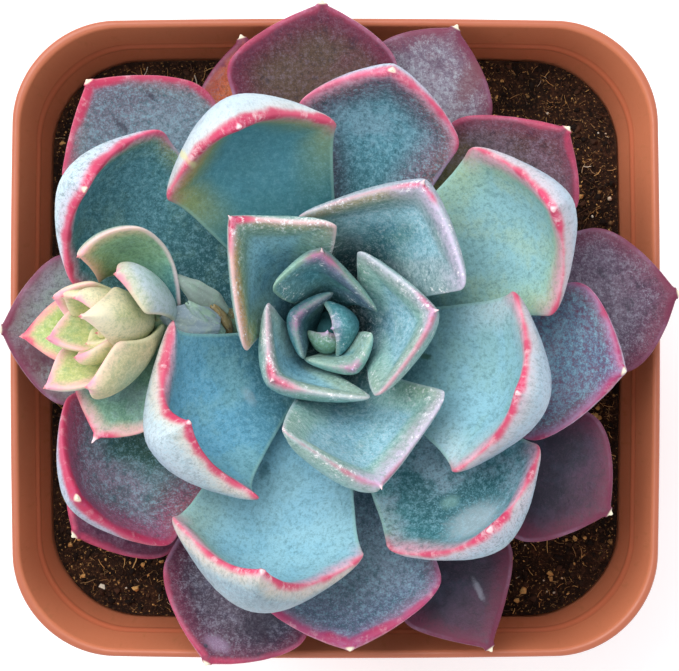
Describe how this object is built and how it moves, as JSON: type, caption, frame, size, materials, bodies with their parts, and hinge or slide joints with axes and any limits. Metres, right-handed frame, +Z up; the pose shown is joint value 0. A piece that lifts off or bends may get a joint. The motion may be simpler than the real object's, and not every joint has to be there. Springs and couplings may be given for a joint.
{
  "type": "potted rosette succulent",
  "caption": "Low rosette of pointed, keeled fleshy leaves around a short stem, with a small side rosette leaning out between them, growing in a square plastic nursery pot filled with soil.",
  "frame": {"origin": "centre of the pot's underside, where it rests", "axes": "+X to the right of the picture, +Y to its top, +Z up out of the pot"},
  "size_m": [0.0938, 0.0913, 0.1154],
  "materials": {
    "pot": "terracotta-coloured moulded plastic, satin, lighter on the rim",
    "soil": "dark brown peat with tan fibres, crumbs and pale grains, dull",
    "stem": "pale green-brown stem, dull",
    "inner_leaf": "blue-green fleshy leaf with rose margins under a whitish bloom, soft satin",
    "middle_leaf": "frosty light blue-green leaf with a yellow-green flush beside the rose margin, soft satin",
    "outer_leaf": "plum and grey-green leaf with crimson rims, fine speckles and dried ivory tip, satin",
    "young_leaf": "yellow-green small leaves with pink margins and tips, satin"
  },
  "bodies": {
    "root": {"pot": "pot", "soil": "soil", "stem": "stem", "side_rosette": "young_leaf", "leaf_01": "inner_leaf", "leaf_02": "inner_leaf", "leaf_03": "inner_leaf", "leaf_04": "inner_leaf", "leaf_05": "inner_leaf", "leaf_06": "inner_leaf", "leaf_07": "inner_leaf", "leaf_08": "inner_leaf", "leaf_09": "inner_leaf", "leaf_10": "inner_leaf", "leaf_11": "middle_leaf", "leaf_12": "middle_leaf", "leaf_13": "middle_leaf", "leaf_14": "middle_leaf", "leaf_15": "middle_leaf", "leaf_16": "middle_leaf", "leaf_17": "middle_leaf", "leaf_18": "middle_leaf", "leaf_19": "middle_leaf", "leaf_20": "outer_leaf", "leaf_21": "outer_leaf", "leaf_22": "outer_leaf", "leaf_23": "outer_leaf", "leaf_24": "outer_leaf", "leaf_25": "outer_leaf", "leaf_26": "outer_leaf", "leaf_27": "outer_leaf", "leaf_28": "outer_leaf", "leaf_29": "outer_leaf", "leaf_30": "outer_leaf", "leaf_31": "outer_leaf", "leaf_32": "outer_leaf", "leaf_33": "outer_leaf", "leaf_34": "outer_leaf"}
  },
  "joints": []
}
